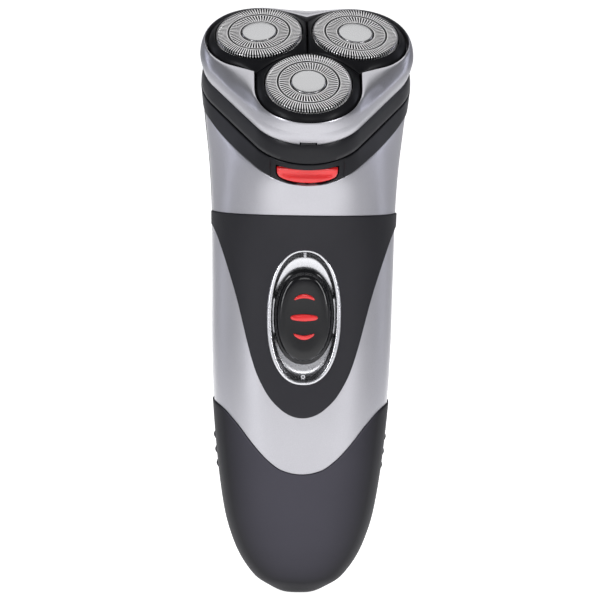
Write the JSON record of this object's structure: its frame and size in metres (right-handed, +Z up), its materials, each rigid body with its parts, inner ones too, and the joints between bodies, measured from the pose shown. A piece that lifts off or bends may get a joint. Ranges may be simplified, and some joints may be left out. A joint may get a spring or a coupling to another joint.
{
  "type": "rotary electric shaver",
  "caption": "Hand-held rotary shaver: silver and black handle, slide switch in a bright oval, red release button, tilted flip-open head with floating round foils.",
  "frame": {"origin": "centre of the bounding box at the handle's flat end", "axes": "+Z up along the handle, -Y towards the switch and the front of the head, +X to the viewer's right when the front is faced"},
  "size_m": [0.0612, 0.0644, 0.1684],
  "materials": {
    "silver_shell": "metallic paint, satin",
    "black_plastic": "satin moulded",
    "soft_grip": "fine matt soft touch",
    "chrome_trim": "bright plated",
    "steel": "fine ground",
    "red_plastic": "gloss",
    "white_plastic": "natural acetal",
    "grey_plastic": "moulded",
    "board": "solder mask",
    "cell_wrap": "shrink sleeve",
    "brass": "turned"
  },
  "bodies": {
    "handle": {"front_shell": "silver_shell", "rear_shell": "black_plastic", "front_panel": "soft_grip", "lower_grip": "soft_grip", "collar": "black_plastic", "end_plate": "black_plastic", "inlet_socket": "grey_plastic", "inlet_pin": "brass", "switch_bezel": "chrome_trim", "slide_switch": "steel", "chassis": "grey_plastic", "battery_1": "cell_wrap", "battery_2": "cell_wrap", "circuit_board": "board", "motor_can": "steel", "motor_end_cap": "white_plastic", "drive_deck": "black_plastic", "gear_plate": "grey_plastic", "deck_screw_1": "steel", "deck_screw_2": "steel", "deck_screw_3": "steel", "button_spring_left": "steel", "button_spring_right": "steel", "hinge_pin": "steel"},
    "head": {"head_frame": "silver_shell", "frame_clip": "black_plastic", "hair_chamber": "black_plastic", "retaining_frame": "grey_plastic"},
    "release_button": {"release_button": "red_plastic"},
    "switch": {"switch_slider": "black_plastic", "slider_mark_upper": "red_plastic", "slider_mark_middle": "red_plastic", "slider_mark_lower": "red_plastic", "switch_lever": "white_plastic"},
    "pinion": {"motor_pinion": "brass"},
    "lock": {"lock_knob": "black_plastic"},
    "gear_1": {"gear_1": "white_plastic"},
    "petal_1": {"petal_1": "black_plastic"},
    "guard_1": {"guard_1": "steel", "guard_cap_1": "chrome_trim"},
    "cutter_1": {"cutter_1": "steel"},
    "gear_2": {"gear_2": "white_plastic"},
    "petal_2": {"petal_2": "black_plastic"},
    "guard_2": {"guard_2": "steel", "guard_cap_2": "chrome_trim"},
    "cutter_2": {"cutter_2": "steel"},
    "gear_3": {"gear_3": "white_plastic"},
    "petal_3": {"petal_3": "black_plastic"},
    "guard_3": {"guard_3": "steel", "guard_cap_3": "chrome_trim"},
    "cutter_3": {"cutter_3": "steel"}
  },
  "joints": [
    {"name": "head_open", "type": "hinge", "parent": "handle", "child": "head", "pos_m": [0, 0.0268, 0.15855], "axis": [-1, 0, 0], "range_deg": [0, 95]},
    {"name": "release_button_press", "type": "slide", "parent": "handle", "child": "release_button", "axis": [0, 0.866, 0.5], "range_m": [0, 0.0015], "stiffness_N_per_m": 500, "springref_m": -0.001, "deforming": ["button_spring_left", "button_spring_right"]},
    {"name": "switch_slide", "type": "slide", "parent": "handle", "child": "switch", "axis": [0, 0, 1], "range_m": [-0.0025, 0.0025]},
    {"name": "pinion_spin", "type": "hinge", "parent": "handle", "child": "pinion", "pos_m": [0, 0.00545, 0.13773], "axis": [0, -0.5, 0.866], "continuous": true},
    {"name": "lock_knob_turn", "type": "hinge", "parent": "head", "child": "lock", "pos_m": [0, -0.00055, 0.14813], "axis": [0, -0.5, 0.866], "range_deg": [0, 60]},
    {"name": "gear_1_spin", "type": "hinge", "parent": "handle", "child": "gear_1", "pos_m": [0, -0.00754, 0.13023], "axis": [0, -0.5, 0.866], "continuous": true},
    {"name": "petal_1_tilt", "type": "hinge", "parent": "head", "child": "petal_1", "pos_m": [0, -0.01894, 0.14849], "axis": [1, 0, 0], "range_deg": [-3.5, 3.5], "stiffness_Nm_per_rad": 0.05},
    {"name": "guard_1_press", "type": "slide", "parent": "petal_1", "child": "guard_1", "axis": [0, 0.5736, -0.8192], "range_m": [0, 0.001], "stiffness_N_per_m": 400, "springref_m": -0.001},
    {"name": "cutter_1_spin", "type": "hinge", "parent": "guard_1", "child": "cutter_1", "pos_m": [0, -0.02066, 0.15095], "axis": [0, -0.5736, 0.8192], "continuous": true},
    {"name": "gear_2_spin", "type": "hinge", "parent": "handle", "child": "gear_2", "pos_m": [0.01299, 0.01195, 0.14148], "axis": [0, -0.5, 0.866], "continuous": true},
    {"name": "petal_2_tilt", "type": "hinge", "parent": "head", "child": "petal_2", "pos_m": [0.01363, 0.00151, 0.1603], "axis": [-0.5, 0.75, 0.433], "range_deg": [-3.5, 3.5], "stiffness_Nm_per_rad": 0.05},
    {"name": "guard_2_press", "type": "slide", "parent": "petal_2", "child": "guard_2", "axis": [-0.0755, 0.4604, -0.8845], "range_m": [0, 0.001], "stiffness_N_per_m": 400, "springref_m": -0.001},
    {"name": "cutter_2_spin", "type": "hinge", "parent": "guard_2", "child": "cutter_2", "pos_m": [0.01386, 0.00013, 0.16295], "axis": [0.0755, -0.4604, 0.8845], "continuous": true},
    {"name": "gear_3_spin", "type": "hinge", "parent": "handle", "child": "gear_3", "pos_m": [-0.01299, 0.01195, 0.14148], "axis": [0, -0.5, 0.866], "continuous": true},
    {"name": "petal_3_tilt", "type": "hinge", "parent": "head", "child": "petal_3", "pos_m": [-0.01363, 0.00151, 0.1603], "axis": [-0.5, -0.75, -0.433], "range_deg": [-3.5, 3.5], "stiffness_Nm_per_rad": 0.05},
    {"name": "guard_3_press", "type": "slide", "parent": "petal_3", "child": "guard_3", "axis": [0.0755, 0.4604, -0.8845], "range_m": [0, 0.001], "stiffness_N_per_m": 400, "springref_m": -0.001},
    {"name": "cutter_3_spin", "type": "hinge", "parent": "guard_3", "child": "cutter_3", "pos_m": [-0.01386, 0.00013, 0.16295], "axis": [-0.0755, -0.4604, 0.8845], "continuous": true}
  ],
  "couplings": [
    {"joint": "pinion_spin", "follows": "gear_1_spin", "ratio": -3},
    {"joint": "cutter_1_spin", "follows": "gear_1_spin", "ratio": 1},
    {"joint": "cutter_2_spin", "follows": "gear_1_spin", "ratio": 1},
    {"joint": "gear_2_spin", "follows": "gear_1_spin", "ratio": 1},
    {"joint": "cutter_3_spin", "follows": "gear_1_spin", "ratio": 1},
    {"joint": "gear_3_spin", "follows": "gear_1_spin", "ratio": 1}
  ]
}
